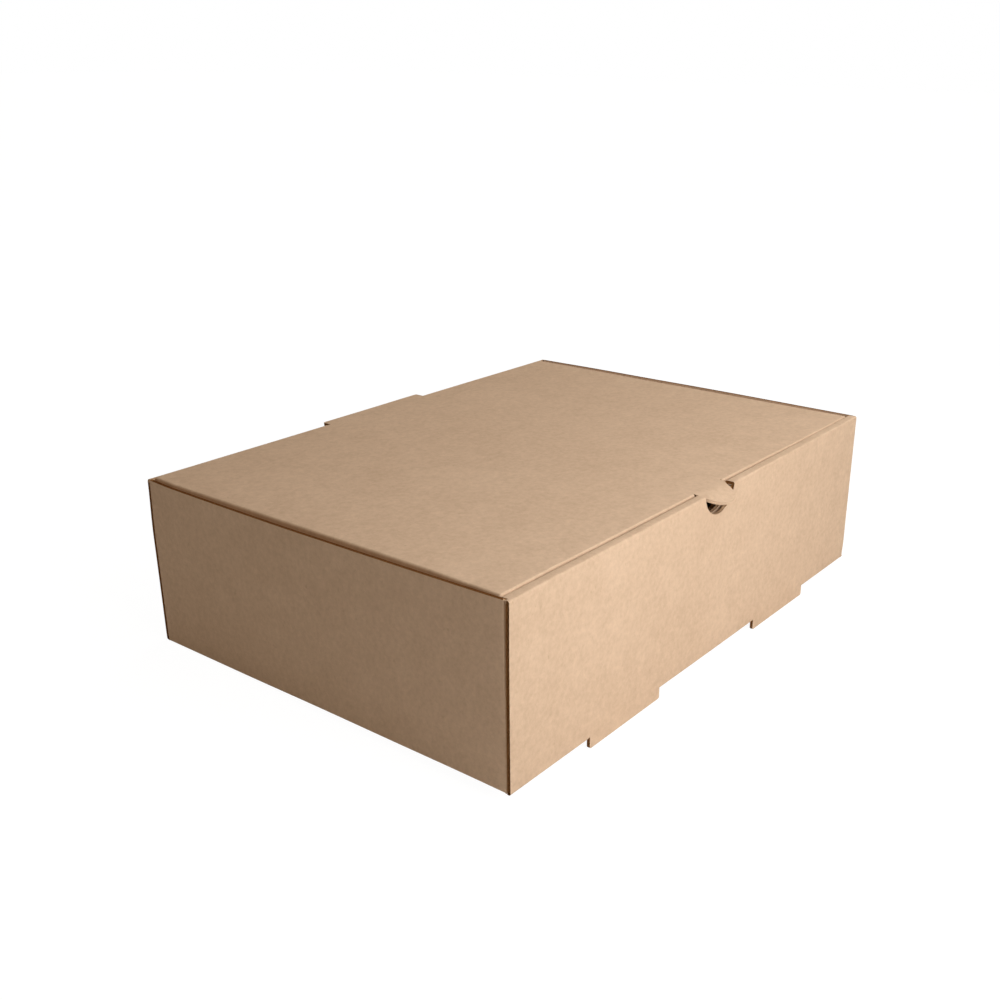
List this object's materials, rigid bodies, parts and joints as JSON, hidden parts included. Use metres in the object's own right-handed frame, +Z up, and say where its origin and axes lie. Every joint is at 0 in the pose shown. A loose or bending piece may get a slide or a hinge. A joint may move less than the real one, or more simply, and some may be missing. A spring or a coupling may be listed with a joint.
{
  "type": "takeaway food box",
  "caption": "Shallow hinged food box folded from one sheet of thin kraft corrugated board, with a tuck-in lid, thumb notch and front feet.",
  "frame": {"origin": "centre of the footprint over tongue and rear tab, on the plane of the feet", "axes": "+X along the front wall, to the right as the front is faced; +Y from the front wall to the rear hinge; +Z up, square to the base"},
  "size_m": [0.29, 0.2201, 0.0848],
  "materials": {
    "kraft_board": "matt brown kraft paper liner with a fine fibre mottle"
  },
  "bodies": {
    "tray_body": {"tray": "kraft_board"},
    "lid_body": {"lid": "kraft_board"}
  },
  "joints": [
    {"name": "lid_hinge", "type": "hinge", "parent": "tray_body", "child": "lid_body", "pos_m": [0, 0.10532, 0.08405], "axis": [-1, 0, 0], "range_deg": [0, 180]}
  ]
}
